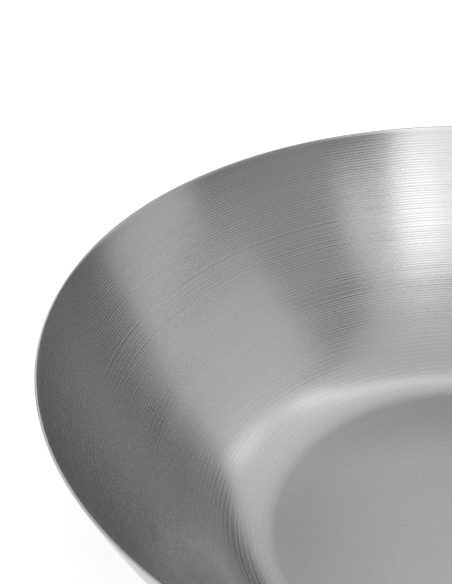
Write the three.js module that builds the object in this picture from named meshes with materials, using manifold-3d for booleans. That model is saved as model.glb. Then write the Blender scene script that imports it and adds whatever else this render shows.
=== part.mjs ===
// A flat-bottom wok: a spun steel bowl, a riveted handle socket, a turned wooden grip and a hanging ring.
// Millimetres, +Z up. The origin is the centre of the bowl's underside, and the handle points along +X.
import * as THREE from "three";
import { mergeVertices } from "three/addons/utils/BufferGeometryUtils.js";
import Module from "manifold-3d";

const wasm = await Module();
wasm.setup();

// Bowl: a flat floor, a rounded corner and a wall that steepens towards a plain cut rim
const BOWL_SHEET = 1.2;
const RIM_INSIDE_DIAMETER = 318;
const INSIDE_DEPTH = 79;
const FLOOR_DIAMETER = 162;
const CORNER_RADIUS = 36;
const CORNER_SWEEP = THREE.MathUtils.degToRad(38.5);

// Handle socket: a flange that follows the wall, with a tapered tube welded to it
const HANDLE_RISE = THREE.MathUtils.degToRad(20);
const HANDLE_HEIGHT = 50; // where the handle's axis crosses the wall's outside, above the table
const FLANGE_WIDTH = 60;
const FLANGE_HEIGHT = 50;
const FLANGE_CORNER = 14;
const FLANGE_SHEET = 2;
const SOCKET_LENGTH = 95;
const SOCKET_ROOT_DIAMETER = 20;
const SOCKET_MOUTH_DIAMETER = 27;
const SOCKET_WALL = 1.5;

// Rivets: two on each side of the tube
const RIVET_SPREAD = 42;
const RIVET_PITCH = 24;
const RIVET_SHANK_DIAMETER = 5;
const RIVET_HEAD_DIAMETER = 10;
const RIVET_HEAD_HEIGHT = 2.4;

// Wooden grip: a tapered tenon inside the socket, and a turned handle outside it
const TENON_LENGTH = 55;
const GRIP_LENGTH = 135;
const GRIP_BELLY_DIAMETER = 31;
const GRIP_BELLY_ALONG = 48; // from the grip's shoulder
const GRIP_WAIST_DIAMETER = 25;
const GRIP_WAIST_SETBACK = 30; // from the grip's end
const GRIP_POMMEL_DIAMETER = 29;
const GRIP_END_ROUND = 7;

// Cross pin that holds the tenon in the socket
const PIN_SETBACK = 22;
const PIN_SHANK_DIAMETER = 4;
const PIN_HEAD_DIAMETER = 8;
const PIN_HEAD_HEIGHT = 1.6;

// Screw eye in the grip's end, and the ring that hangs in it
const EYE_WIRE_DIAMETER = 3.2;
const EYE_LOOP_DIAMETER = 12; // across the middle of the wire
const EYE_SHANK_LENGTH = 26; // what is screwed into the wood
const EYE_STANDOFF = 2; // bare shank between the wood and the loop
const RING_WIRE_DIAMETER = 3;
const RING_DIAMETER = 28; // across the middle of the wire

// Clearance between two pieces that touch or pass through one another
const CLEARANCE = 0.3;

// Facets: how finely round shapes are divided
const BOWL_SEGMENTS = 72;
const CORNER_STEPS = 5;
const WALL_STEPS = 9;
const TUBE_SEGMENTS = 28;
const GRIP_SEGMENTS = 24;
const GRIP_STEPS = 16;
const ROUND_STEPS = 3;
const FASTENER_SEGMENTS = 16;
const WIRE_SEGMENTS = 8;
const LOOP_SEGMENTS = 28;
const MERGE_TOLERANCE = 1e-4;

const steel = (color, roughness) => new THREE.MeshStandardMaterial({ color, roughness, metalness: 1 });
const spunSteel = steel(0xb9b8b5, 0.34);
const socketSteel = steel(0xa9a8a5, 0.38);
const rivetSteel = steel(0xb4b3b0, 0.3);
const wireSteel = steel(0xc2c1be, 0.25);
const beech = new THREE.MeshStandardMaterial({ color: 0xb98a5a, roughness: 0.55, metalness: 0 });

// Solids

// A closed three.js geometry as a solid that can be joined and cut.
function toSolid(geometry, matrix = new THREE.Matrix4()) {
  const bare = new THREE.BufferGeometry().setAttribute("position", geometry.getAttribute("position").clone());
  bare.setIndex(geometry.index);
  const merged = mergeVertices(bare.applyMatrix4(matrix), MERGE_TOLERANCE);
  const corners = merged.index.array;
  const triVerts = [];
  for (let i = 0; i < corners.length; i += 3) {
    const [a, b, c] = corners.slice(i, i + 3);
    if (a !== b && b !== c && c !== a) triVerts.push(a, b, c);
  }
  return new wasm.Manifold(
    new wasm.Mesh({
      numProp: 3,
      vertProperties: merged.getAttribute("position").array,
      triVerts: new Uint32Array(triVerts),
    }),
  );
}

// A solid as a named three.js mesh.
function toMesh(name, solid, material) {
  const { vertProperties, triVerts } = solid.getMesh();
  const geometry = new THREE.BufferGeometry()
    .setAttribute("position", new THREE.BufferAttribute(vertProperties, 3))
    .setIndex(new THREE.BufferAttribute(triVerts, 1));
  geometry.computeVertexNormals();
  const mesh = new THREE.Mesh(geometry, material);
  mesh.name = name;
  return mesh;
}

// A turned shape about Z, from points of radius and height.
function turnedAboutZ(points, segments) {
  return new THREE.LatheGeometry(points, segments).rotateX(Math.PI / 2);
}

// A turned shape about X, from points of radius and distance along X.
function turnedAboutX(points, segments) {
  return new THREE.LatheGeometry(points, segments).rotateZ(-Math.PI / 2);
}

// A straight round bar along X, which may taper.
function barAlongX(start, startRadius, end, endRadius, segments) {
  const bar = new THREE.CylinderGeometry(endRadius, startRadius, end - start, segments);
  return bar.rotateZ(-Math.PI / 2).translate((start + end) / 2, 0, 0);
}

// A straight round bar along Y, centred on the origin.
function barAlongY(length, radius, segments) {
  return new THREE.CylinderGeometry(radius, radius, length, segments);
}

// The outline of a fastener with a domed head at each end: its heads stand clear of what it grips.
function twoHeadedOutline(grip, shankRadius, headRadius, headHeight) {
  const low = -CLEARANCE;
  const high = grip + CLEARANCE;
  const dome = (base, way, k) => {
    const turn = (k / ROUND_STEPS) * (Math.PI / 2);
    return new THREE.Vector2(headRadius * Math.sin(turn), base + way * headHeight * Math.cos(turn));
  };
  const steps = Array.from({ length: ROUND_STEPS + 1 }, (_, k) => k);
  return [
    ...steps.map((k) => dome(low, -1, k)),
    new THREE.Vector2(shankRadius, low),
    new THREE.Vector2(shankRadius, high),
    ...steps.map((k) => dome(high, 1, ROUND_STEPS - k)),
  ].map((p) => new THREE.Vector2(Math.max(p.x, 0), p.y));
}

// The bowl's surface

// The inside follows two arcs that meet with one slope: the corner, then the wall up to the rim.
const floorHeight = BOWL_SHEET;
const floorRadius = FLOOR_DIAMETER / 2;
const cornerCentre = new THREE.Vector2(floorRadius, floorHeight + CORNER_RADIUS);
const wallStart = arcPoint(cornerCentre, CORNER_RADIUS, CORNER_SWEEP);
const rimInside = new THREE.Vector2(RIM_INSIDE_DIAMETER / 2, floorHeight + INSIDE_DEPTH);
const wallChord = rimInside.clone().sub(wallStart);
const rimSlope = 2 * wallChord.angle() - CORNER_SWEEP; // a chord's slope is the mean of its ends' slopes
const wallRadius = wallChord.length() / (2 * Math.sin((rimSlope - CORNER_SWEEP) / 2));
const wallCentre = wallStart
  .clone()
  .sub(new THREE.Vector2(Math.sin(CORNER_SWEEP), -Math.cos(CORNER_SWEEP)).multiplyScalar(wallRadius));

// The point of an arc where it has this slope, as radius and height.
function arcPoint(centre, radius, slope) {
  return new THREE.Vector2(centre.x + radius * Math.sin(slope), centre.y - radius * Math.cos(slope));
}

// A point of the bowl's wall, this far outside its inner surface.
function wallPoint(slope, offset) {
  return arcPoint(wallCentre, wallRadius + offset, slope);
}

// Points from the floor's edge up to the rim, this far outside the inner surface.
function bowlCurve(offset) {
  const corner = Array.from({ length: CORNER_STEPS }, (_, k) =>
    arcPoint(cornerCentre, CORNER_RADIUS + offset, (CORNER_SWEEP * k) / CORNER_STEPS),
  );
  const wall = Array.from({ length: WALL_STEPS + 1 }, (_, k) =>
    wallPoint(CORNER_SWEEP + ((rimSlope - CORNER_SWEEP) * k) / WALL_STEPS, offset),
  );
  return [...corner, ...wall];
}

// Everything within the bowl's surface at this offset, carried on above the rim along the wall's slope.
function bowlEnvelope(offset) {
  const curve = bowlCurve(offset);
  const top = curve.at(-1).clone();
  top.add(new THREE.Vector2(Math.cos(rimSlope), Math.sin(rimSlope)).multiplyScalar(FLANGE_HEIGHT));
  const outline = [new THREE.Vector2(0, curve[0].y), ...curve, top, new THREE.Vector2(0, top.y)];
  return toSolid(turnedAboutZ(outline, BOWL_SEGMENTS));
}

// A shell that lies between two offsets from the bowl's inner surface.
function bowlShell(innerOffset, outerOffset) {
  const outline = [...bowlCurve(outerOffset), ...bowlCurve(innerOffset).reverse()];
  outline.push(outline[0].clone());
  return toSolid(turnedAboutZ(outline, BOWL_SEGMENTS));
}

// The handle's place

const flangeInner = BOWL_SHEET + CLEARANCE;
const flangeOuter = flangeInner + FLANGE_SHEET;
const flangeMiddle = (flangeInner + flangeOuter) / 2;
const rootSlope = Math.acos((wallCentre.y - HANDLE_HEIGHT) / (wallRadius + BOWL_SHEET));
const root = wallPoint(rootSlope, flangeMiddle);

// The handle's own frame: X runs out along the handle from where its axis meets the flange.
const handle = new THREE.Group();
handle.position.set(root.x, 0, root.y);
handle.rotation.y = -HANDLE_RISE;
handle.updateMatrixWorld(true);

const socketRootRadius = SOCKET_ROOT_DIAMETER / 2;
const socketMouthRadius = SOCKET_MOUTH_DIAMETER / 2;
const socketTaper = (socketMouthRadius - socketRootRadius) / SOCKET_LENGTH;
const socketRadiusAt = (along) => socketRootRadius + socketTaper * along;
const pinAlong = SOCKET_LENGTH - PIN_SETBACK;
const gripStart = SOCKET_LENGTH + CLEARANCE;
const gripEnd = gripStart + GRIP_LENGTH;

// The pin crosses the handle, along Y.
const pinPlace = new THREE.Group();
pinPlace.position.x = pinAlong;
handle.add(pinPlace);
pinPlace.updateMatrixWorld(true);

// Each rivet's own frame: Z runs out through the wall from the bowl's inner surface.
function rivetPlace(side, row) {
  const slope = rootSlope + (row * RIVET_PITCH) / 2 / (wallRadius + BOWL_SHEET);
  const inner = wallPoint(slope, 0);
  const turn = new THREE.Group();
  turn.rotation.z = Math.asin((side * RIVET_SPREAD) / 2 / inner.x);
  const place = new THREE.Group();
  place.position.set(inner.x, 0, inner.y);
  place.rotation.y = Math.PI - slope;
  turn.add(place);
  turn.updateMatrixWorld(true);
  return { turn, place };
}

const rivets = [
  { name: "rivet_upper_left", ...rivetPlace(1, 1) },
  { name: "rivet_upper_right", ...rivetPlace(-1, 1) },
  { name: "rivet_lower_left", ...rivetPlace(1, -1) },
  { name: "rivet_lower_right", ...rivetPlace(-1, -1) },
];

// Cutters for the rivet holes, through the bowl and the flange.
function rivetHoles() {
  const reach = FLANGE_SHEET + BOWL_SHEET + RIVET_HEAD_HEIGHT;
  const radius = RIVET_SHANK_DIAMETER / 2 + CLEARANCE;
  const bar = new THREE.CylinderGeometry(radius, radius, 2 * reach, FASTENER_SEGMENTS).rotateX(Math.PI / 2);
  return rivets.map(({ place }) => toSolid(bar, place.matrixWorld));
}

// A cutter for the pin's hole, through the socket or the tenon, in the frame that the matrix gives.
function pinHole(matrix) {
  const length = 2 * SOCKET_MOUTH_DIAMETER;
  return toSolid(barAlongY(length, PIN_SHANK_DIAMETER / 2 + CLEARANCE, FASTENER_SEGMENTS), matrix);
}

const cutAll = (solid, cutters) => cutters.reduce((left, cutter) => left.subtract(cutter), solid);

// Pieces

function wokBowl() {
  const outline = [
    new THREE.Vector2(0, 0),
    ...bowlCurve(BOWL_SHEET),
    ...bowlCurve(0).reverse(),
    new THREE.Vector2(0, floorHeight),
  ];
  const bowl = toSolid(turnedAboutZ(outline, BOWL_SEGMENTS));
  return toMesh("wok_bowl", cutAll(bowl, rivetHoles()), spunSteel);
}

// The flange's outline with round corners: x across the handle, y up the wall.
function flangeOutline() {
  const x = FLANGE_WIDTH / 2;
  const y = FLANGE_HEIGHT / 2;
  const r = Math.min(FLANGE_CORNER, x, y);
  const shape = new THREE.Shape();
  shape.absarc(x - r, y - r, r, 0, Math.PI / 2);
  shape.absarc(-x + r, y - r, r, Math.PI / 2, Math.PI);
  shape.absarc(-x + r, -y + r, r, Math.PI, 1.5 * Math.PI);
  shape.absarc(x - r, -y + r, r, 1.5 * Math.PI, 2 * Math.PI);
  return shape;
}

// The flange: the part of a shell round the bowl that lies within the outline.
function flange() {
  const depth = FLANGE_WIDTH / 2;
  const block = new THREE.ExtrudeGeometry(flangeOutline(), {
    depth,
    bevelEnabled: false,
    curveSegments: ROUND_STEPS * 2,
  }).translate(0, 0, -depth / 2);
  const across = new THREE.Vector3(0, 1, 0);
  const up = new THREE.Vector3(Math.cos(rootSlope), 0, Math.sin(rootSlope));
  const out = new THREE.Vector3().crossVectors(across, up);
  const place = new THREE.Matrix4().makeBasis(across, up, out).setPosition(root.x, 0, root.y);
  return bowlShell(flangeInner, flangeOuter).intersect(toSolid(block, place));
}

function handleSocket() {
  // The tube starts behind the wall, so that its end can be cut to the wall's shape.
  const behind = -2 * socketRootRadius - socketRootRadius / Math.tan(rootSlope - HANDLE_RISE);
  const past = SOCKET_LENGTH + SOCKET_WALL;
  const outside = barAlongX(
    behind,
    socketRadiusAt(behind),
    SOCKET_LENGTH,
    socketMouthRadius,
    TUBE_SEGMENTS,
  );
  const bore = barAlongX(
    behind,
    socketRadiusAt(behind) - SOCKET_WALL,
    past,
    socketRadiusAt(past) - SOCKET_WALL,
    TUBE_SEGMENTS,
  );
  const tube = toSolid(outside, handle.matrixWorld).subtract(bowlEnvelope(flangeMiddle));
  const hollow = toSolid(bore, handle.matrixWorld).subtract(bowlEnvelope(flangeOuter));
  const socket = flange().add(tube).subtract(hollow);
  return toMesh("handle_socket", cutAll(socket, [...rivetHoles(), pinHole(pinPlace.matrixWorld)]), socketSteel);
}

function addRivets(group) {
  const outline = twoHeadedOutline(
    flangeOuter,
    RIVET_SHANK_DIAMETER / 2,
    RIVET_HEAD_DIAMETER / 2,
    RIVET_HEAD_HEIGHT,
  );
  for (const { name, turn, place } of rivets) {
    place.add(toMesh(name, toSolid(turnedAboutZ(outline, FASTENER_SEGMENTS)), rivetSteel));
    group.add(turn);
  }
}

// The grip's outline in the handle's frame: the tenon, its shoulder, the belly, the waist and the round end.
function gripOutline() {
  const tenonStart = SOCKET_LENGTH - TENON_LENGTH;
  const tenonRadiusAt = (along) => socketRadiusAt(along) - SOCKET_WALL - CLEARANCE;
  const endRadius = GRIP_POMMEL_DIAMETER / 2;
  const round = Math.min(GRIP_END_ROUND, endRadius);
  const side = new THREE.SplineCurve([
    new THREE.Vector2(socketMouthRadius, gripStart),
    new THREE.Vector2(GRIP_BELLY_DIAMETER / 2, gripStart + GRIP_BELLY_ALONG),
    new THREE.Vector2(GRIP_WAIST_DIAMETER / 2, gripEnd - GRIP_WAIST_SETBACK),
    new THREE.Vector2(endRadius, gripEnd - round),
  ]).getPoints(GRIP_STEPS);
  const end = Array.from({ length: ROUND_STEPS }, (_, k) => {
    const turn = ((k + 1) / ROUND_STEPS) * (Math.PI / 2);
    return new THREE.Vector2(endRadius - round * (1 - Math.cos(turn)), gripEnd - round * (1 - Math.sin(turn)));
  });
  return [
    new THREE.Vector2(0, tenonStart),
    new THREE.Vector2(tenonRadiusAt(tenonStart), tenonStart),
    new THREE.Vector2(tenonRadiusAt(gripStart), gripStart),
    ...side,
    ...end,
    new THREE.Vector2(0, gripEnd),
  ];
}

function woodenGrip() {
  const grip = toSolid(turnedAboutX(gripOutline(), GRIP_SEGMENTS));
  const eyeHole = barAlongX(
    gripEnd - EYE_SHANK_LENGTH - CLEARANCE,
    EYE_WIRE_DIAMETER / 2 + CLEARANCE,
    gripEnd + CLEARANCE,
    EYE_WIRE_DIAMETER / 2 + CLEARANCE,
    FASTENER_SEGMENTS,
  );
  const holes = [pinHole(new THREE.Matrix4().makeTranslation(pinAlong, 0, 0)), toSolid(eyeHole)];
  return toMesh("wooden_grip", cutAll(grip, holes), beech);
}

function gripPin() {
  const across = 2 * socketRadiusAt(pinAlong);
  const outline = twoHeadedOutline(across, PIN_SHANK_DIAMETER / 2, PIN_HEAD_DIAMETER / 2, PIN_HEAD_HEIGHT);
  const pin = new THREE.LatheGeometry(outline, FASTENER_SEGMENTS).translate(0, -across / 2, 0);
  return toMesh("grip_pin", toSolid(pin), rivetSteel);
}

const eyeLoopRadius = EYE_LOOP_DIAMETER / 2;
const eyeWireRadius = EYE_WIRE_DIAMETER / 2;
const eyeAlong = gripEnd + EYE_STANDOFF + eyeWireRadius + eyeLoopRadius;

// The screw eye: its loop stands upright in line with the handle, so the hole runs across.
function hangingEye() {
  const loop = new THREE.TorusGeometry(eyeLoopRadius, eyeWireRadius, WIRE_SEGMENTS, LOOP_SEGMENTS)
    .rotateX(Math.PI / 2)
    .translate(eyeAlong, 0, 0);
  const shank = barAlongX(
    gripEnd - EYE_SHANK_LENGTH,
    eyeWireRadius,
    eyeAlong - eyeLoopRadius,
    eyeWireRadius,
    FASTENER_SEGMENTS,
  );
  return toMesh("hanging_eye", toSolid(loop).add(toSolid(shank)), wireSteel);
}

// The ring hangs straight down, with the top of its wire low in the eye's hole.
function ringPlace() {
  const ringWireRadius = RING_WIRE_DIAMETER / 2;
  const place = new THREE.Group();
  place.position.copy(handle.localToWorld(new THREE.Vector3(eyeAlong, 0, 0)));
  place.position.z -= eyeLoopRadius - eyeWireRadius - ringWireRadius - CLEARANCE;
  const ring = new THREE.TorusGeometry(RING_DIAMETER / 2, ringWireRadius, WIRE_SEGMENTS, LOOP_SEGMENTS)
    .rotateY(Math.PI / 2)
    .translate(0, 0, -RING_DIAMETER / 2);
  place.add(toMesh("hanging_ring", toSolid(ring), wireSteel));
  return place;
}

const wok = new THREE.Group();
wok.add(wokBowl(), handleSocket());
addRivets(wok);
pinPlace.add(gripPin());
handle.add(woodenGrip(), hangingEye());
wok.add(handle, ringPlace());

export default wok;
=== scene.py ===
# %% [markdown]
# # A flat-bottom wok of bare spun steel
#
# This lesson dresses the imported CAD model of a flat-bottom wok. The CAD fixes every size, place and joint,
# so each piece is modelled where its CAD node stands, and then takes that node's place in the picture. The
# bowl shows most. It is a disc of sheet steel, pressed over a turning form by a roller, and the roller
# leaves fine rings up its wall. Most of the work below goes into that steel and the light on it.

from math import acos, asin, atan2, cos, degrees, hypot, pi, radians, sin, tan

import bpy
from mathutils import Matrix, Quaternion, Vector
from mathutils.geometry import interpolate_bezier


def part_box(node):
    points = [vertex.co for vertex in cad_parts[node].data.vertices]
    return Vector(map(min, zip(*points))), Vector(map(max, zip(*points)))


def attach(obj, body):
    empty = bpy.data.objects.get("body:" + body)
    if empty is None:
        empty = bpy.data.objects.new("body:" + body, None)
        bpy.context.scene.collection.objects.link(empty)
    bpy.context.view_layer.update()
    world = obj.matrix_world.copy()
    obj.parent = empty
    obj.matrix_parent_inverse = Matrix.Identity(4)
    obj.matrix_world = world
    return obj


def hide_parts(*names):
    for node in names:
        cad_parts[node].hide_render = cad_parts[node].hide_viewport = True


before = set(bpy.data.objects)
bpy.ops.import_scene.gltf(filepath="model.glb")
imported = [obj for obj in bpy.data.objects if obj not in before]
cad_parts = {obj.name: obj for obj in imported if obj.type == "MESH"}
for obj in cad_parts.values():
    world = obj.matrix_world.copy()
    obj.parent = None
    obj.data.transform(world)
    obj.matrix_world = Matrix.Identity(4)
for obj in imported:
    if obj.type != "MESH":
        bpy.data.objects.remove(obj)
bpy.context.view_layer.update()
MM = 0.001
print("CAD nodes:", ", ".join(sorted(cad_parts)))

# %% [markdown]
# ## The camera
#
# The rim of the wok is a true circle, so the ellipse that it makes in the photograph says where the camera
# stood: its flatness gives the height, and the way that it grows towards the viewer gives the distance. A
# camera could be aimed with a constraint, but a plain place and pitch are easier to read and to move.

# %% Camera
CAMERA_PLACE = (-0.0984, -0.4336, 0.3815)
CAMERA_PITCH = radians(32.79)
FOCAL_PIXELS = 1623.7
PICTURE_HEIGHT_PIXELS = 584
NEAR_CLIP = 0.01

bpy.ops.object.select_all(action="DESELECT")
bpy.ops.object.camera_add(location=CAMERA_PLACE, rotation=(pi / 2 - CAMERA_PITCH, 0, 0))
camera = bpy.context.object
camera.name = "photo_camera"
camera.data.sensor_fit = "VERTICAL"
camera.data.lens = FOCAL_PIXELS / PICTURE_HEIGHT_PIXELS * camera.data.sensor_height
camera.data.clip_start = NEAR_CLIP
bpy.context.scene.camera = camera
print(f"lens {camera.data.lens:.1f} mm on a sensor {camera.data.sensor_height:.1f} mm high")

# %% [markdown]
# ## Shader maths in Python
#
# A finish is a tree of small nodes. Wiring them one by one is slow to read, so one small class wraps
# a socket: a sum or a product of two such wires adds the Math node that works it out, and every other
# kind of node comes from one method, which sets the node's options first and its sockets after that.

# %% Wires between shader nodes
def set_stops(elements, stops):
    """Gives a colour ramp its stops: pairs of place and colour."""
    while len(elements) < len(stops):
        elements.new(1.0)
    for element, (place, colour) in zip(elements, stops):
        element.position = place
        element.color = colour


class Wire:
    """A socket of a shader node that takes part in Python expressions."""

    def __init__(self, socket):
        self.socket = socket

    def node(self, kind, options=None, sockets=None, output=0):
        """Adds a node to this wire's tree and gives the wire of one of its outputs."""
        tree = self.socket.id_data
        made = tree.nodes.new(kind)
        for name, value in (options or {}).items():
            if name == "stops":
                set_stops(made.color_ramp.elements, value)
            else:
                setattr(made, name, value)
        for name, value in (sockets or {}).items():
            if isinstance(value, Wire):
                tree.links.new(value.socket, made.inputs[name])
            else:
                made.inputs[name].default_value = value
        return Wire(made.outputs[output])

    def maths(self, operation, first, second):
        return self.node("ShaderNodeMath", {"operation": operation}, {0: first, 1: second})

    def __add__(self, other):
        return self.maths("ADD", self, other)

    def __sub__(self, other):
        return self.maths("SUBTRACT", self, other)

    def __rsub__(self, other):
        return self.maths("SUBTRACT", other, self)

    def __mul__(self, other):
        return self.maths("MULTIPLY", self, other)

    def __truediv__(self, other):
        return self.maths("DIVIDE", self, other)

    def __pow__(self, other):
        return self.maths("POWER", self, other)

    __radd__ = __add__
    __rmul__ = __mul__

    def ramp(self, low, high, at_low=0.0, at_high=1.0):
        """A soft step from one value to another while this wire goes from low to high."""
        sockets = {"Value": self, "From Min": low, "From Max": high, "To Min": at_low, "To Max": at_high}
        return self.node("ShaderNodeMapRange", {"interpolation_type": "SMOOTHSTEP"}, sockets)

    def blend(self, first, second):
        """A colour that goes from the first to the second as this wire goes from 0 to 1."""
        return self.node("ShaderNodeMix", {"data_type": "RGBA"}, {0: self, 6: first, 7: second}, 2)

    def noise(self, scale, detail):
        """A noise over the places on this wire, with some levels of finer detail."""
        return self.node("ShaderNodeTexNoise", None, {"Vector": self, "Scale": scale, "Detail": detail})

    def bump(self, depth, strength):
        """A normal that takes this wire for a height, in units of the depth."""
        return self.node("ShaderNodeBump", None, {"Strength": strength, "Distance": depth, "Height": self})


# %% Begin and close a finish
def new_finish(name):
    """An empty finish, and the wire of its Object coordinates."""
    finish = bpy.data.materials.new(name)
    finish.use_nodes = True
    finish.node_tree.nodes.clear()
    coordinates = finish.node_tree.nodes.new("ShaderNodeTexCoord")
    return finish, Wire(coordinates.outputs["Object"])


def close_finish(finish, surface):
    """Leads a shader to the output of its finish."""
    output = finish.node_tree.nodes.new("ShaderNodeOutputMaterial")
    finish.node_tree.links.new(surface.socket, output.inputs["Surface"])
    print("finish", finish.name, "has", len(finish.node_tree.nodes), "nodes")
    return finish


def grey(level):
    return (level, level, level, 1.0)


# %% [markdown]
# ## The floor and the light
#
# The wok stands on a plain white table in a dim grey room. Bare steel has hardly any colour
# of its own, so it shows what stands round it. A point lamp would be a small hard spot in
# such a wall, so each lamp is an area lamp, whose size and edges the wall mirrors. All hang
# at one distance, so two angles give the place of each.
#
# Different parts of the bowl mirror different lamps. The two in front make the bright fan at the back of the
# wall, the veil and the two panels on the handle's side light the middle and the left, the lamp overhead
# lights the foot of the wall at the back, and the back panel lights the corner and the floor of the bowl.
# The left panel lights the outside for other views, and the strip catches the cut edge of the rim.
#
# The floor glows a little for the camera and for reflections only, which takes it to white
# without adding light to the wok.

# %% Floor
FLOOR_SIZE = 30.0
FLOOR_DROP = 0.2 * MM
FLOOR_COLOUR = grey(0.82)
FLOOR_GLOW = 0.6


def white_table():
    finish, place = new_finish("white_table")
    rays = ("Is Camera Ray", "Is Glossy Ray", "Is Transmission Ray")
    seen = [place.node("ShaderNodeLightPath", output=ray) for ray in rays]
    shows = place.maths("MINIMUM", seen[0] + seen[1] + seen[2], 1.0)
    matte = place.node("ShaderNodeBsdfDiffuse", None, {"Color": FLOOR_COLOUR})
    glow = place.node("ShaderNodeEmission", None, {"Strength": shows * FLOOR_GLOW})
    return close_finish(finish, place.node("ShaderNodeAddShader", None, {0: matte, 1: glow}))


bpy.ops.object.select_all(action="DESELECT")
bpy.ops.mesh.primitive_plane_add(size=FLOOR_SIZE, location=(0, 0, -FLOOR_DROP))
floor = bpy.context.object
floor.name = "table_top"
floor.data.materials.append(white_table())

# %% Room and lamps
ROOM_GREY = 0.1
LAMP_AIM = Vector((0, 0, 0.04))
LAMP_DISTANCE = 2.5
# Azimuth, elevation and roll in degrees, width and height in metres, and the brightness of the lamp's face.
LAMPS = {
    "front_softbox": (-76, 33, -4, 1.30, 1.72, 1.836),
    "front_fill": (-56, 36.5, -8, 1.05, 1.07, 0.935),
    "wide_veil": (-2, 30.5, 0, 4.10, 1.65, 0.409),
    "side_panel": (14, 33, -20, 1.95, 1.10, 0.4155),
    "low_panel": (10, 9, 0, 1.35, 0.55, 0.772),
    "back_panel": (58, 48, 14, 2.15, 1.60, 1.009),
    "overhead_lamp": (-12, 79, 0, 2.70, 2.60, 0.784),
    "left_panel": (190, 36, 0, 4.00, 1.75, 1.0),
    "rim_strip": (126, 20, 40, 2.00, 0.50, 1.814),
}

bpy.context.scene.view_settings.view_transform = "Standard"
room = bpy.data.worlds.new("room")
bpy.context.scene.world = room
room.use_nodes = True
room.node_tree.nodes["Background"].inputs["Color"].default_value = grey(ROOM_GREY)


def hang_lamp(name, azimuth, elevation, roll, width, height, brightness):
    """A soft rectangular lamp that faces the wok, rolled about its own axis."""
    around, up = radians(azimuth), radians(elevation)
    away = Vector((cos(up) * cos(around), cos(up) * sin(around), sin(up)))
    facing = (-away).to_track_quat("-Z", "Y") @ Quaternion((0, 0, 1), radians(roll))
    place = LAMP_AIM + away * LAMP_DISTANCE
    bpy.ops.object.light_add(type="AREA", location=place, rotation=facing.to_euler())
    lamp = bpy.context.object
    lamp.name = name
    lamp.data.shape = "RECTANGLE"
    lamp.data.size = width
    lamp.data.size_y = height
    lamp.data.energy = pi * width * height * brightness
    lamp.visible_camera = False
    print(f"{name} gives {lamp.data.energy:.1f} W")


for lamp_name, lamp_values in LAMPS.items():
    hang_lamp(lamp_name, *lamp_values)

# %% [markdown]
# ## Drawing and turning
#
# Almost every piece here is round, so it is made as on a lathe: half of its outline is drawn as
# a chain of edges and spun about an axis. A cylinder primitive could be cut and bevelled
# instead, but the outline holds every radius in one place. The chain starts as a plane that is
# merged to one vertex, and is extruded from point to point. After a full spin the first and last
# row and the poles lie double, so they are merged, and the faces are then all turned outwards.

# %% Draw and turn an outline
MERGE_DISTANCE = 1e-6


def trace_line(name, points):
    """Draws a chain of edges through the points and stays in edit mode."""
    bpy.ops.object.select_all(action="DESELECT")
    bpy.ops.mesh.primitive_plane_add(size=MM, location=points[0])
    piece = bpy.context.object
    piece.name = name
    bpy.ops.object.transform_apply(location=True, rotation=True, scale=True)
    bpy.ops.object.mode_set(mode="EDIT")
    bpy.ops.mesh.select_all(action="SELECT")
    bpy.ops.mesh.merge(type="CENTER")
    for start, end in zip(points, points[1:]):
        step = Vector(end) - Vector(start)
        bpy.ops.mesh.extrude_region_move(TRANSFORM_OT_translate={"value": step})
    return piece


def close_mesh():
    """Merges double vertices, turns all faces outwards and leaves edit mode."""
    bpy.ops.mesh.select_all(action="SELECT")
    bpy.ops.mesh.remove_doubles(threshold=MERGE_DISTANCE)
    bpy.ops.mesh.normals_make_consistent(inside=False)
    bpy.ops.object.mode_set(mode="OBJECT")


def turn(name, outline, steps):
    """Spins an outline of (radius, height) pairs about Z."""
    piece = trace_line(name, [(radius, 0, height) for radius, height in outline])
    bpy.ops.mesh.select_all(action="SELECT")
    bpy.ops.mesh.spin(steps=steps, angle=2 * pi, center=(0, 0, 0), axis=(0, 0, 1))
    close_mesh()
    return piece


def round_corner(corner, before, after, radius, steps=4):
    """Points of a rounded corner in an outline, tangent to the lines towards its two neighbours."""
    corner, before, after = Vector(corner), Vector(before), Vector(after)
    back, onward = (before - corner).normalized(), (after - corner).normalized()
    half = back.angle(onward) / 2
    centre = corner + (back + onward).normalized() * radius / sin(half)
    start = corner + back * radius / tan(half) - centre
    end = corner + onward * radius / tan(half) - centre
    return [tuple(centre + radius * start.slerp(end, step / steps)) for step in range(steps + 1)]


# %% Place a piece and hand it over
SMOOTH_ANGLE = radians(40)


def make_active(piece):
    """Selects one piece alone, so that the next operators act on it only."""
    bpy.ops.object.select_all(action="DESELECT")
    piece.select_set(True)
    bpy.context.view_layer.objects.active = piece


def place_piece(piece, matrix=Matrix.Identity(4)):
    """Moves a piece to its place, bakes the place into its mesh and smooths its soft edges."""
    make_active(piece)
    piece.matrix_world = matrix
    bpy.ops.object.transform_apply(location=True, rotation=True, scale=True)
    bpy.ops.object.shade_smooth_by_angle(angle=SMOOTH_ANGLE)
    print(piece.name, "has", len(piece.data.polygons), "faces")


def hand_over(piece, body, slot, finish, *nodes):
    """Gives a piece its finish, lets it ride on a body and lets it stand for its CAD nodes."""
    piece.data.materials.clear()
    piece.data.materials.append(finish)
    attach(piece, body)
    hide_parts(*nodes)
    print(piece.name, "rides on", body, "and stands for", ", ".join(nodes))


# %% [markdown]
# ## The bowl
#
# Seen from the side, the bowl is a flat floor, a tight corner and a long shallow wall. Two
# arcs that share a tangent give its sizes. As a shape they would do too, but the corner's
# highlight would then end at a hard edge, where on the real bowl it fades up the wall. So the
# inner face is walked in short steps instead, with a slope that passes softly from the
# corner's bend to the wall's. The outer face lies behind it by the thickness of the sheet,
# which keeps that even. The rim is a plain cut edge with its sharp corners taken off by hand.

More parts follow.
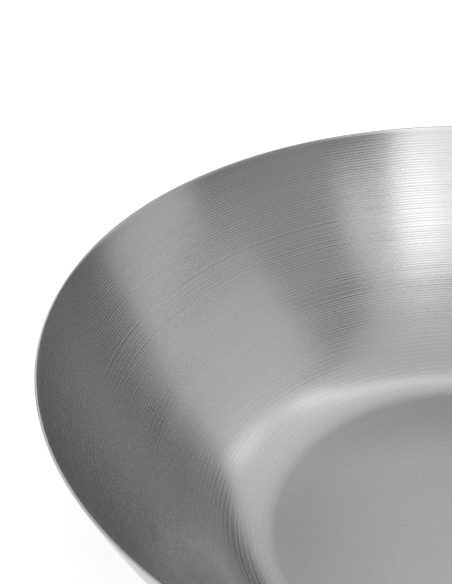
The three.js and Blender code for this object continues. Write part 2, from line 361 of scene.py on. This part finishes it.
# %% Arcs of the corner and the wall
SHEET = 1.2 * MM
RIM_RADIUS = 159 * MM
FLOOR_RADIUS = 81 * MM
CORNER_RADIUS = 36 * MM
CORNER_SWEEP = radians(38.5)

rim_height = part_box("wok_bowl")[1].z
corner_centre = Vector((FLOOR_RADIUS, SHEET + CORNER_RADIUS))
wall_start = corner_centre + CORNER_RADIUS * Vector((sin(CORNER_SWEEP), -cos(CORNER_SWEEP)))
wall_chord = Vector((RIM_RADIUS, rim_height)) - wall_start
RIM_SLOPE = 2 * atan2(wall_chord.y, wall_chord.x) - CORNER_SWEEP
WALL_RADIUS = wall_chord.length / 2 / sin((RIM_SLOPE - CORNER_SWEEP) / 2)
wall_centre = wall_start + WALL_RADIUS * Vector((-sin(CORNER_SWEEP), cos(CORNER_SWEEP)))


def wall_point(slope, depth):
    """Radius and height of a point in the wall, by the slope there and its depth behind the inner face."""
    reach = WALL_RADIUS + depth
    return wall_centre.x + reach * sin(slope), wall_centre.y - reach * cos(slope)


print(f"the wall rises from {degrees(CORNER_SWEEP):.1f} to {degrees(RIM_SLOPE):.1f} degrees on a radius of"
      f" {WALL_RADIUS / MM:.1f} mm")

# %% Walk along the sheet
CORNER_FADE = 0.12
FLOOR_RINGS = 10
SHEET_RINGS = 72


def sheet_slope(along):
    """Slope of the sheet at a length along it from the floor's edge, where the corner fades into the wall."""
    corner_slope = along / CORNER_RADIUS
    wall_slope = CORNER_SWEEP + (along - CORNER_RADIUS * CORNER_SWEEP) / WALL_RADIUS
    return (corner_slope + wall_slope - hypot(corner_slope - wall_slope, CORNER_FADE)) / 2


def walk_sheet():
    """The inner face from the floor's edge to the rim: radius, height and slope at each ring."""
    step = (CORNER_RADIUS * CORNER_SWEEP + WALL_RADIUS * (RIM_SLOPE - CORNER_SWEEP)) / SHEET_RINGS
    level = sheet_slope(0)
    spot = Vector((0, 0))
    walked = [(spot.copy(), 0)]
    for ring_count in range(SHEET_RINGS):
        heading = sheet_slope(step * (ring_count + 0.5)) - level
        spot += step * Vector((cos(heading), sin(heading)))
        walked.append((spot.copy(), sheet_slope(step * (ring_count + 1)) - level))
    stretch = Vector(((RIM_RADIUS - FLOOR_RADIUS) / spot.x, (rim_height - SHEET) / spot.y))
    return [(FLOOR_RADIUS + place.x * stretch.x, SHEET + place.y * stretch.y, slope)
            for place, slope in walked]


def bowl_side(depth):
    """One face of the sheet from the axis to the rim, at a depth behind the inner face."""
    floor_rings = [(FLOOR_RADIUS * step / FLOOR_RINGS, SHEET - depth) for step in range(FLOOR_RINGS)]
    return floor_rings + [(radius + depth * sin(slope), height - depth * cos(slope))
                          for radius, height, slope in walk_sheet()]


print("the sheet has", FLOOR_RINGS, "rings on its floor and", SHEET_RINGS, "up its wall")

# %% Turn the bowl
BOWL_STEPS = 256
RIM_ROUND = 0.35 * MM

inside = bowl_side(0)
outside = bowl_side(SHEET)
outside.reverse()
inner_edge = round_corner(inside[-1], inside[-2], outside[0], RIM_ROUND)
outer_edge = round_corner(outside[0], inside[-1], outside[1], RIM_ROUND)
bowl = turn("bowl", inside[:-1] + inner_edge + outer_edge + outside[1:], BOWL_STEPS)
place_piece(bowl)

# %% [markdown]
# ## Spun steel
#
# The roller leaves rings about a millimetre apart, which wander a little and grow deeper
# towards the rim, coarser ones in the corner, and slow waves where it was pushed harder. A
# ring texture could be used, but rings on a real bowl follow the curve of the wall, so every
# pattern here runs along one number, radius plus height, which grows steadily up the wall.
# The rings change relief, shade and roughness together: shade alone looks painted on where
# the wall is bright, and relief alone hardly shows where the light is even.
#
# Such rings spread light up and down the wall and hardly at all round it. That is anisotropy,
# and it draws the reflection of the front lamps out into a fan. The roller doesn't touch the
# floor of the bowl, so that is plain, with a faint grain.

# %% Spun steel finish
CLIMB_RATE = 1.38
MICRON = 0.001 * MM
FINE_PITCH = 1.05
DEEP_PITCH = 1.85
CORNER_PITCH = 1.75
SCRATCH_PITCH = 0.4
WAVE_PITCH = 9.0


def spun_steel():
    finish, place = new_finish("spun_sheet")
    x, y, z = [place.node("ShaderNodeSeparateXYZ", None, {0: place}, axis) for axis in "XYZ"]
    radius = (x * x + y * y) ** 0.5 / MM
    climb = (radius + z / MM) / CLIMB_RATE

    def uneven(pitch, detail=0.0, start=0.0):
        """A value about zero that changes up the wall, over about a pitch."""
        sockets = {"W": climb / pitch + start, "Scale": 1.0, "Detail": detail, "Roughness": 0.6}
        return place.node("ShaderNodeTexNoise", {"noise_dimensions": "1D"}, sockets) - 0.5

    def grooves(pitch, wander, start):
        """Rings a pitch apart that wander by a share of it."""
        turns = climb / pitch + uneven(pitch * 4.0, 1.0, start) * wander
        return place.maths("SINE", turns * (2 * pi), 0.0)

    # Where each pattern lies, by the radius in millimetres.
    spun = radius.ramp(80.0, 92.0)
    depth = radius.ramp(95.0, 148.0, 0.42, 1.7) * radius.ramp(154.5, 157.5, 1.0, 0.4)
    corner = radius.ramp(82.0, 90.0) * radius.ramp(104.0, 118.0, 1.0, 0.0)

    fine = grooves(FINE_PITCH, 0.5, 3.0) * uneven(8.0, 1.0, 11.0).ramp(-0.2, 0.2, 0.5, 1.0)
    deep = grooves(DEEP_PITCH, 0.8, 7.0) * uneven(13.0, 0.0, 5.0).ramp(-0.1, 0.2)
    scratches = uneven(SCRATCH_PITCH, 3.0).ramp(-0.3, 0.3, -0.22, 0.22)
    waves = uneven(WAVE_PITCH, 1.0, 2.0)
    coarse = grooves(CORNER_PITCH, 0.9, 9.0) * corner
    lines = (fine * 0.5 + deep * 0.15 + scratches) * depth + coarse * 0.2
    relief = lines * 9.0 + waves * 50.0
    bump = (relief * spun).bump(MICRON, 1.0)

    clouds = place.noise(13.0, 2.0)
    steel = clouds.ramp(0.35, 0.65).blend((0.440, 0.441, 0.447, 1), (0.450, 0.443, 0.433, 1))
    shade = (lines * 0.17 + waves * 0.05) * spun + 1.0
    shaded = place.node("ShaderNodeVectorMath", {"operation": "SCALE"}, {0: steel, "Scale": shade})
    wall = place.node("ShaderNodeBsdfPrincipled", None, {
        "Base Color": shaded, "Metallic": 1.0, "Roughness": 0.25 + lines * 0.16 + waves * 0.04,
        "Anisotropic": 0.5, "Anisotropic Rotation": 0.25, "Normal": bump})

    grain = place.noise(800.0, 3.0)
    flat_steel = (grain * 0.7 + clouds * 0.3).ramp(0.3, 0.7).blend(grey(0.402), grey(0.458))
    base = place.node("ShaderNodeBsdfPrincipled", None, {
        "Base Color": flat_steel, "Metallic": 1.0, "Roughness": 0.28 + grain * 0.04, "Normal": bump})
    return close_finish(finish, place.node("ShaderNodeMixShader", None, {0: spun, 1: base, 2: wall}))


hand_over(bowl, "wok", "spun_steel", spun_steel(), "wok_bowl")

# %% [markdown]
# ## The flange of the handle
#
# The handle is held by a plate that is pressed to the curve of the bowl and riveted on. It starts
# flat: a plane with its four corners rounded by a vertex bevel, then cut into a grid so that it
# can bend. A Shrinkwrap modifier presses it against the bowl, much as a press does, Solidify
# gives the sheet its thickness, and Bevel breaks the sharp edges that a stamped plate has.

# %% Where the handle meets the bowl
HANDLE_RISE = radians(20)
HANDLE_HEIGHT = 50 * MM
FLANGE_GAP = 0.3 * MM
FLANGE_SHEET = 2 * MM

root_slope = acos((wall_centre.y - HANDLE_HEIGHT) / (WALL_RADIUS + SHEET))
root_radius, root_height = wall_point(root_slope, SHEET + FLANGE_GAP + FLANGE_SHEET / 2)
handle_root = Vector((root_radius, 0, root_height))
handle_turn = Matrix.Rotation(pi / 2 - HANDLE_RISE, 4, "Y")
handle_place = Matrix.Translation(handle_root) @ handle_turn


def wall_place(slope, depth, aside=0.0):
    """A frame on the wall: its Z points out of the bowl and its Y across the handle."""
    radius, height = wall_point(slope, depth)
    out = Matrix.Translation((radius, 0, height)) @ Matrix.Rotation(pi - slope, 4, "Y")
    return Matrix.Rotation(asin(aside / radius), 4, "Z") @ out


print("the handle starts at", [round(part / MM, 1) for part in handle_root], "mm")

# %% Flat plate
FLANGE_WIDTH = 60 * MM
FLANGE_HEIGHT = 50 * MM
FLANGE_CORNER = 14 * MM
FLANGE_CORNER_STEPS = 8
FLANGE_GRID = 2.5 * MM

bpy.ops.object.select_all(action="DESELECT")
bpy.ops.mesh.primitive_plane_add(size=1)
flange = bpy.context.object
flange.name = "flange"
flange.scale = (FLANGE_HEIGHT, FLANGE_WIDTH, 1)
bpy.ops.object.transform_apply(location=True, rotation=True, scale=True)
bpy.ops.object.mode_set(mode="EDIT")
bpy.ops.mesh.select_all(action="SELECT")
bpy.ops.mesh.bevel(offset=FLANGE_CORNER, segments=FLANGE_CORNER_STEPS, affect="VERTICES")
for across, width in ((Vector((1, 0, 0)), FLANGE_HEIGHT), (Vector((0, 1, 0)), FLANGE_WIDTH)):
    cuts = round(width / FLANGE_GRID)
    for cut in range(1, cuts):
        cut_place = across * width * (cut / cuts - 0.5)
        bpy.ops.mesh.select_all(action="SELECT")
        bpy.ops.mesh.bisect(plane_co=cut_place, plane_no=across, threshold=MERGE_DISTANCE)
bpy.ops.object.mode_set(mode="OBJECT")
print("the flat plate has", len(flange.data.polygons), "faces")

# %% Press the plate to the bowl
FLANGE_EDGE = 0.5 * MM
FLANGE_EDGE_STEPS = 3
SHARP_ANGLE = radians(50)


def apply_modifier(piece, kind, **settings):
    """Adds a modifier to the active piece and applies it."""
    modifier = piece.modifiers.new(kind.lower(), kind)
    for name, value in settings.items():
        setattr(modifier, name, value)
    bpy.ops.object.modifier_apply(modifier=modifier.name)


flange.matrix_world = wall_place(root_slope, SHEET + FLANGE_GAP)
apply_modifier(flange, "SHRINKWRAP", target=bowl, wrap_mode="ABOVE_SURFACE", offset=FLANGE_GAP)
apply_modifier(flange, "SOLIDIFY", thickness=FLANGE_SHEET, offset=1.0, use_even_offset=True)
apply_modifier(flange, "BEVEL", width=FLANGE_EDGE, segments=FLANGE_EDGE_STEPS,
               limit_method="ANGLE", angle_limit=SHARP_ANGLE)
place_piece(flange, flange.matrix_world.copy())

# %% [markdown]
# ## The socket tube
#
# A tapered tube stands on the flange and takes the wooden grip. It is turned like the bowl, with a bore
# that ends inside. Its foot has to follow the flange, and a boolean would leave a ragged ring of small
# faces there, so the foot's vertices are pressed onto the flange instead, straight along the tube.

# %% Socket tube
SOCKET_LENGTH = 95 * MM
SOCKET_ROOT_RADIUS = 10 * MM
SOCKET_MOUTH_RADIUS = 13.5 * MM
SOCKET_WALL = 1.5 * MM
SOCKET_LIP = 0.45 * MM
FOOT_START = 26 * MM
FOOT_LIMIT = 29 * MM
FOOT_SINK = FLANGE_SHEET / 4
TAPER_START = 30 * MM
BORE_END = 62 * MM
TUBE_STEPS = 96

tube_mouth = (SOCKET_MOUTH_RADIUS, SOCKET_LENGTH)
bore_mouth = (SOCKET_MOUTH_RADIUS - SOCKET_WALL, SOCKET_LENGTH)
tube_taper = (SOCKET_ROOT_RADIUS, TAPER_START)
bore_end = (SOCKET_ROOT_RADIUS, BORE_END)
tube_outline = [(0, FOOT_START), (SOCKET_ROOT_RADIUS, FOOT_START), tube_taper]
tube_outline += round_corner(tube_mouth, tube_taper, bore_mouth, SOCKET_LIP)
tube_outline += round_corner(bore_mouth, tube_mouth, bore_end, SOCKET_LIP)
tube_outline += [bore_end, (0, BORE_END)]
tube = turn("socket_tube", tube_outline, TUBE_STEPS)
foot = tube.vertex_groups.new(name="foot")
foot.add([point.index for point in tube.data.vertices if point.co.z < FOOT_LIMIT], 1.0, "REPLACE")
tube.matrix_world = handle_place
apply_modifier(tube, "SHRINKWRAP", target=flange, vertex_group="foot", wrap_method="PROJECT",
               use_project_z=True, use_positive_direction=False, use_negative_direction=True,
               offset=-FOOT_SINK)
foot_heights = [point.co.z / MM for point in tube.data.vertices if point.co.z < FOOT_LIMIT]
print(f"the tube's foot lies {min(foot_heights):.1f} to {max(foot_heights):.1f} mm along its axis")

# %% [markdown]
# ## The weld
#
# The tube is welded to the flange all round. The points of the tube's foot are already the path of
# that weld, so a chain of edges is drawn through them, closed to a ring and given a round section
# as a curve. Merging leaves a mesh's points in an order that can change from run to run, so they
# are sorted first. Every third section is swollen a little, which gives the row of overlapping
# scales that a hand-laid bead has. The three parts are one welded piece, so they are joined.

# %% Weld bead
BEAD_RADIUS = 1.9 * MM
BEAD_ROUNDNESS = 3
BEAD_SCALE = 0.22 * MM
BEAD_SCALE_PITCH = 3
BEAD_ROUGHNESS = 0.12 * MM
BEAD_SEED = 7


def pick_points(piece, wanted):
    """Selects the vertices of the active piece that pass a test and stays in edit mode."""
    bpy.ops.object.mode_set(mode="EDIT")
    bpy.ops.mesh.select_all(action="DESELECT")
    bpy.ops.object.mode_set(mode="OBJECT")
    for point in piece.data.vertices:
        point.select = wanted(point)
    bpy.ops.object.mode_set(mode="EDIT")


def draw_wire(piece, radius, roundness):
    """Gives a chain of edges a round section and makes it a closed mesh."""
    make_active(piece)
    bpy.ops.object.convert(target="CURVE")
    piece.data.bevel_depth = radius
    piece.data.bevel_resolution = roundness
    piece.data.use_fill_caps = True
    bpy.ops.object.convert(target="MESH")
    bpy.ops.object.mode_set(mode="EDIT")
    close_mesh()


def angle_round_tube(point):
    """The angle of a point round the tube, counted so that none lies where it jumps back to zero."""
    return (atan2(point.y, point.x) + pi / TUBE_STEPS) % (2 * pi)


foot_points = [point.co for point in tube.data.vertices if point.co.z < FOOT_LIMIT]
foot_ring = [Vector(point) for point in foot_points if hypot(point.x, point.y) > MM]
foot_ring.sort(key=angle_round_tube)
bead = trace_line("weld_bead", foot_ring)
pick_points(bead, lambda point: point.index in (0, len(foot_ring) - 1))
bpy.ops.mesh.edge_face_add()
bpy.ops.object.mode_set(mode="OBJECT")
draw_wire(bead, BEAD_RADIUS, BEAD_ROUNDNESS)
section = len(bead.data.vertices) // TUBE_STEPS
pick_points(bead, lambda point: point.index // section % BEAD_SCALE_PITCH == 0)
bpy.ops.transform.shrink_fatten(value=BEAD_SCALE)
bpy.ops.mesh.select_all(action="SELECT")
bpy.ops.transform.vertex_random(offset=BEAD_ROUGHNESS, normal=1.0, seed=BEAD_SEED)
bpy.ops.object.mode_set(mode="OBJECT")
print("the bead has", TUBE_STEPS, "sections of", section, "points")

# %% Join the welded piece
place_piece(tube, handle_place)
place_piece(bead, handle_place)
bpy.ops.object.select_all(action="DESELECT")
for part in (flange, bead, tube):
    part.select_set(True)
bpy.context.view_layer.objects.active = tube
bpy.ops.object.join()
socket = tube
socket.name = "welded_socket"
print("the socket has", len(socket.data.polygons), "faces")

# %% [markdown]
# ## Drawn steel
#
# The socket is plain mild steel with a dull sheen: fine scratches along the tube from drawing
# it over its mandrel, soft cloudy stains, and next to the weld the straw and blue tints that
# heat leaves on bare steel. The tints follow the distance from the weld, so they sit in the
# right place from every side. The scratches are a noise in the handle's own direction: a
# Mapping node turns the coordinates to the handle and stretches them along it.

# %% Drawn steel finish
HEAT_TINTS = [
    (0.0, (0.30, 0.29, 0.30, 1)),
    (0.22, (0.29, 0.31, 0.37, 1)),
    (0.42, (0.50, 0.41, 0.32, 1)),
    (0.68, (0.56, 0.52, 0.46, 1)),
    (1.0, (0.56, 0.56, 0.555, 1)),
]
STAIN_COLOUR = (0.30, 0.29, 0.28, 1)


def along_handle(place, length):
    """Coordinates that follow the handle from its root and are stretched along it."""
    return place.node("ShaderNodeMapping", {"vector_type": "TEXTURE"}, {
        "Vector": place, "Location": handle_root, "Rotation": handle_turn.to_euler(),
        "Scale": (1.0, 1.0, length)})


def drawn_steel():
    finish, place = new_finish("drawn_steel")
    scratches = along_handle(place, 40.0).noise(2600.0, 3.0)
    clouds = place.noise(70.0, 4.0)
    from_weld = place.node("ShaderNodeVectorMath", {"operation": "DISTANCE"},
                           {0: place, 1: handle_root}, "Value")
    cooling = (from_weld / MM + (clouds - 0.5) * 9.0).ramp(12.0, 40.0)
    tint = place.node("ShaderNodeValToRGB", {"stops": HEAT_TINTS}, {"Fac": cooling})
    stains = (clouds * 0.6 + scratches * 0.4).ramp(0.3, 0.7, 0.35, 0.0)
    surface = place.node("ShaderNodeBsdfPrincipled", None, {
        "Base Color": stains.blend(tint, STAIN_COLOUR), "Metallic": 1.0,
        "Roughness": 0.30 + clouds * 0.12 + scratches * 0.08, "Normal": scratches.bump(0.02 * MM, 0.6)})
    return close_finish(finish, surface)


hand_over(socket, "wok", "socket_steel", drawn_steel(), "handle_socket")

# %% [markdown]
# ## Rivets
#
# Four round-headed rivets go through the bowl and the flange. One is turned, with a head on
# both ends of its shank, and copied to the four places, each copy with its own mesh. The
# heads lie close on the sheet, as those of hammered rivets do.

# %% Turn a fastener with two heads
HEAD_EDGE = 0.45 * MM
HEAD_STEPS = 10
FASTENER_STEPS = 48


def head_outline(radius, height):
    """A low dome on a short upright edge: radius and height above the seat, from the top outwards."""
    dome = [pi / 2 * step / HEAD_STEPS for step in range(HEAD_STEPS + 1)]
    crown = height - HEAD_EDGE
    return [(radius * sin(angle), HEAD_EDGE + crown * cos(angle)) for angle in dome] + [(radius, 0)]


def two_headed(name, grip, shank_radius, head_radius, head_height):
    """A fastener along Z whose heads grip what lies between 0 and the grip."""
    head = head_outline(head_radius, head_height)
    near = [(radius, -height) for radius, height in head]
    far = [(radius, grip + height) for radius, height in reversed(head)]
    return turn(name, near + [(shank_radius, 0), (shank_radius, grip)] + far, FASTENER_STEPS)


def copy_piece(piece, name):
    """A copy with its own mesh."""
    copy = piece.copy()
    copy.data = piece.data.copy()
    copy.name = name
    bpy.context.collection.objects.link(copy)
    return copy


# %% Rivets
RIVET_SPREAD = 42 * MM
RIVET_PITCH = 24 * MM
RIVET_SHANK_RADIUS = 2.5 * MM
RIVET_HEAD_RADIUS = 5 * MM
RIVET_HEAD_HEIGHT = 2.7 * MM

rivet_grip = SHEET + FLANGE_GAP + FLANGE_SHEET
first_rivet = two_headed("rivet", rivet_grip, RIVET_SHANK_RADIUS, RIVET_HEAD_RADIUS, RIVET_HEAD_HEIGHT)
rivets = {}
for row_name, row in (("upper", 1), ("lower", -1)):
    for side_name, side in (("left", 1), ("right", -1)):
        rivet = copy_piece(first_rivet, f"{row_name}_{side_name}_rivet")
        slope = root_slope + row * RIVET_PITCH / 2 / (WALL_RADIUS + SHEET)
        place_piece(rivet, wall_place(slope, 0, side * RIVET_SPREAD / 2))
        rivets[f"rivet_{row_name}_{side_name}"] = rivet
bpy.data.objects.remove(first_rivet)

# %% [markdown]
# A rivet's head is smoother than the sheet, with small flats and dents from the hammer.
# Low-frequency noise in the bump gives the dents, and a finer noise dulls the metal in spots.

# %% Hammered steel finish
def hammered_steel():
    finish, place = new_finish("hammered_steel")
    dents = place.noise(420.0, 1.0)
    specks = place.noise(1700.0, 4.0)
    colour = specks.ramp(0.35, 0.7).blend((0.47, 0.465, 0.46, 1), (0.60, 0.60, 0.595, 1))
    bump = (dents + specks * 0.08).bump(0.12 * MM, 0.8)
    surface = place.node("ShaderNodeBsdfPrincipled", None, {
        "Base Color": colour, "Metallic": 1.0, "Roughness": 0.24 + specks * 0.14, "Normal": bump})
    return close_finish(finish, surface)


rivet_finish = hammered_steel()
for node, rivet in rivets.items():
    hand_over(rivet, "wok", "rivet_steel", rivet_finish, node)

# %% [markdown]
# ## The wooden grip
#
# The grip is turned from one piece of beech: a tapered tenon that sits in the socket, a shoulder
# at its mouth, a full belly for the palm, a waist and a rounded end. The side is a smooth curve
# through four points, so only those four are set and the rest is worked out from them.

# %% Grip
FIT_GAP = 0.3 * MM
TENON_START = 66 * MM
TENON_TAPER = 1.4 * MM
GRIP_START = SOCKET_LENGTH + FIT_GAP
GRIP_LENGTH = 135 * MM
GRIP_BELLY = (15.5 * MM, 48 * MM)
GRIP_WAIST = (12.5 * MM, 105 * MM)
GRIP_END_RADIUS = 14.5 * MM
GRIP_END_ROUND = 7 * MM
GRIP_END_STEPS = 10
GRIP_SHOULDER_ROUND = 0.8 * MM
GRIP_SIDE_STEPS = 14
GRIP_STEPS = 96


def smooth_line(knots, steps):
    """Points on a smooth curve through the knots."""
    knots = [Vector(knot) for knot in knots]
    padded = [knots[0]] + knots + [knots[-1]]
    points = [knots[0]]
    for before, start, end, after in zip(padded, padded[1:], padded[2:], padded[3:]):
        leave = start + (end - before) / 6
        arrive = end - (after - start) / 6
        points += interpolate_bezier(start, leave, arrive, end, steps + 1)[1:]
    return [tuple(point) for point in points]


grip_end = GRIP_START + GRIP_LENGTH
tenon_radius = SOCKET_MOUTH_RADIUS - SOCKET_WALL - FIT_GAP
grip_knots = [
    (SOCKET_MOUTH_RADIUS, GRIP_START),
    (GRIP_BELLY[0], GRIP_START + GRIP_BELLY[1]),
    (GRIP_WAIST[0], GRIP_START + GRIP_WAIST[1]),
    (GRIP_END_RADIUS, grip_end - GRIP_END_ROUND),
]
grip_side = smooth_line(grip_knots, GRIP_SIDE_STEPS)
shoulder = round_corner(grip_side[0], (tenon_radius, GRIP_START), grip_side[1], GRIP_SHOULDER_ROUND)
end_turns = [pi / 2 * step / GRIP_END_STEPS for step in range(1, GRIP_END_STEPS + 1)]
grip_round = [(GRIP_END_RADIUS - GRIP_END_ROUND * (1 - cos(angle)),
               grip_end - GRIP_END_ROUND * (1 - sin(angle))) for angle in end_turns]
grip_outline = [(0, TENON_START), (tenon_radius - TENON_TAPER, TENON_START), (tenon_radius, GRIP_START)]
grip_outline += shoulder + grip_side[1:] + grip_round + [(0, grip_end)]
grip = turn("turned_grip", grip_outline, GRIP_STEPS)
place_piece(grip, handle_place)

# %% [markdown]
# Beech is pale and even, with straight fine grain along the piece and short dark flecks. All
# of its patterns are read in the grip's own direction, as the scratches of the socket are,
# each with its own stretch. A year ring is a slow wave across the wood, bent a little by
# noise. The oiled surface is smoother where the wood is pale.

# %% Beech finish
DARK_BEECH = (0.40, 0.215, 0.095, 1)
PALE_BEECH = (0.60, 0.37, 0.19, 1)
FLECK_COLOUR = (0.20, 0.09, 0.04, 1)


def oiled_beech():
    finish, place = new_finish("oiled_beech")
    long_grain = along_handle(place, 18.0)
    sway = along_handle(place, 6.0).noise(45.0, 2.0)
    across = place.node("ShaderNodeSeparateXYZ", None, {0: long_grain}, "X") / MM
    rings = place.maths("SINE", (across + (sway - 0.5) * 16.0) * 1.3, 0.0) * 0.5 + 0.5
    fibres = long_grain.noise(1500.0, 3.0)
    patches = along_handle(place, 4.0).noise(30.0, 2.0)
    cells = place.node("ShaderNodeTexVoronoi", {"feature": "F1"}, {
        "Vector": along_handle(place, 7.0), "Scale": 620.0})
    flecked = along_handle(place, 2.0).noise(160.0, 1.0).ramp(0.5, 0.62)
    fleck = cells.ramp(0.10, 0.24, 1.0, 0.0) * flecked
    light = rings * 0.16 + fibres * 0.48 + patches * 0.36
    wood = light.ramp(0.25, 0.75).blend(DARK_BEECH, PALE_BEECH)
    surface = place.node("ShaderNodeBsdfPrincipled", None, {
        "Base Color": (fleck * 0.6).blend(wood, FLECK_COLOUR), "Roughness": 0.54 - light * 0.16 + fleck * 0.1,
        "Normal": (fibres - fleck * 0.6).bump(0.05 * MM, 0.5)})
    return close_finish(finish, surface)


hand_over(grip, "wok", "beech", oiled_beech(), "wooden_grip")

# %% [markdown]
# ## The grip pin
#
# A pin through the socket keeps the tenon from pulling out. It is a slimmer fastener of the
# same shape as the rivets, laid across the handle.

# %% Grip pin
PIN_SETBACK = 22 * MM
PIN_SHANK_RADIUS = 2 * MM
PIN_HEAD_RADIUS = 4 * MM
PIN_HEAD_HEIGHT = 1.9 * MM

pin_low, pin_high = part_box("grip_pin")
pin_grip = pin_high.y - pin_low.y - 2 * PIN_HEAD_HEIGHT
pin = two_headed("cross_pin", pin_grip, PIN_SHANK_RADIUS, PIN_HEAD_RADIUS, PIN_HEAD_HEIGHT)
pin_place = handle_place @ Matrix.Translation((0, -pin_grip / 2, SOCKET_LENGTH - PIN_SETBACK))
place_piece(pin, pin_place @ Matrix.Rotation(-pi / 2, 4, "X"))
hand_over(pin, "wok", "rivet_steel", rivet_finish, "grip_pin")

# %% [markdown]
# ## The screw eye and the ring
#
# The wok hangs by a ring in a screw eye. The eye is one wire: a straight shank in the wood, a
# short bend, and a loop that stops just before it touches the shank. The ring is a round section
# spun about its own axis, with the small swelling where its two ends were welded together.

# %% Screw eye
EYE_WIRE_RADIUS = 1.6 * MM
EYE_WIRE_ROUNDNESS = 4
EYE_LOOP_RADIUS = 6 * MM
EYE_SHANK = 26 * MM
EYE_STANDOFF = 2 * MM
EYE_BEND_START = 1.6 * MM
SHANK_PULL = 2 * MM
LOOP_PULL = 1.6 * MM
BEND_POINTS = 9
LOOP_FIRST = radians(158)
LOOP_LAST = radians(-138)
LOOP_STEPS = 56

eye_along = grip_end + EYE_STANDOFF + EYE_WIRE_RADIUS + EYE_LOOP_RADIUS


def loop_point(angle):
    """A point on the loop of the eye: the angle is 0 at its far end and grows upwards."""
    return Vector((-EYE_LOOP_RADIUS * sin(angle), 0, eye_along + EYE_LOOP_RADIUS * cos(angle)))


shank_end = Vector((0, 0, grip_end - EYE_SHANK))
bend_start = Vector((0, 0, grip_end + EYE_BEND_START - EYE_WIRE_RADIUS))
bend_pull = bend_start + Vector((0, 0, SHANK_PULL))
loop_start = loop_point(LOOP_FIRST)
loop_pull = loop_start - LOOP_PULL * Vector((cos(LOOP_FIRST), 0, sin(LOOP_FIRST)))
bend = interpolate_bezier(bend_start, bend_pull, loop_pull, loop_start, BEND_POINTS)
loop_sweep = LOOP_LAST - LOOP_FIRST
loop = [loop_point(LOOP_FIRST + loop_sweep * step / LOOP_STEPS) for step in range(1, LOOP_STEPS + 1)]
eye = trace_line("screw_eye", [shank_end] + list(bend) + loop)
bpy.ops.object.mode_set(mode="OBJECT")
draw_wire(eye, EYE_WIRE_RADIUS, EYE_WIRE_ROUNDNESS)
place_piece(eye, handle_place)

# %% Hanging ring
RING_STEPS = 128
SECTION_STEPS = 20
WELD_SWELLING = 0.18 * MM
WELD_REACHES = (2.2 * MM, 1.1 * MM)

ring_low, ring_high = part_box("hanging_ring")
ring_wire_radius = (ring_high.x - ring_low.x) / 2
ring_radius = (ring_high.y - ring_low.y) / 2 - ring_wire_radius
ring_turns = [2 * pi * step / SECTION_STEPS for step in range(SECTION_STEPS + 1)]
ring_section = [(ring_radius + ring_wire_radius * cos(angle), ring_wire_radius * sin(angle))
                for angle in ring_turns]
ring = turn("round_ring", ring_section, RING_STEPS)
for reach in WELD_REACHES:
    pick_points(ring, lambda point: point.co.x > 0 and abs(point.co.y) < reach)
    bpy.ops.transform.shrink_fatten(value=WELD_SWELLING / len(WELD_REACHES))
    bpy.ops.object.mode_set(mode="OBJECT")
place_piece(ring, Matrix.Translation((ring_low + ring_high) / 2) @ Matrix.Rotation(pi / 2, 4, "Y"))

# %% [markdown]
# Eye and ring are bright drawn wire with a thin zinc coat: smooth, a touch blue, and clouded
# where the coat is thicker.

# %% Zinc wire finish
def zinc_wire():
    finish, place = new_finish("zinc_wire")
    clouds = place.noise(330.0, 3.0)
    specks = place.noise(2400.0, 2.0)
    colour = clouds.ramp(0.35, 0.65).blend((0.56, 0.57, 0.59, 1), (0.70, 0.70, 0.70, 1))
    bump = (clouds + specks * 0.4).bump(0.02 * MM, 0.5)
    surface = place.node("ShaderNodeBsdfPrincipled", None, {
        "Base Color": colour, "Metallic": 1.0, "Roughness": 0.18 + clouds * 0.2, "Normal": bump})
    return close_finish(finish, surface)


wire_finish = zinc_wire()
hand_over(eye, "wok", "wire_steel", wire_finish, "hanging_eye")
hand_over(ring, "ring", "wire_steel", wire_finish, "hanging_ring")
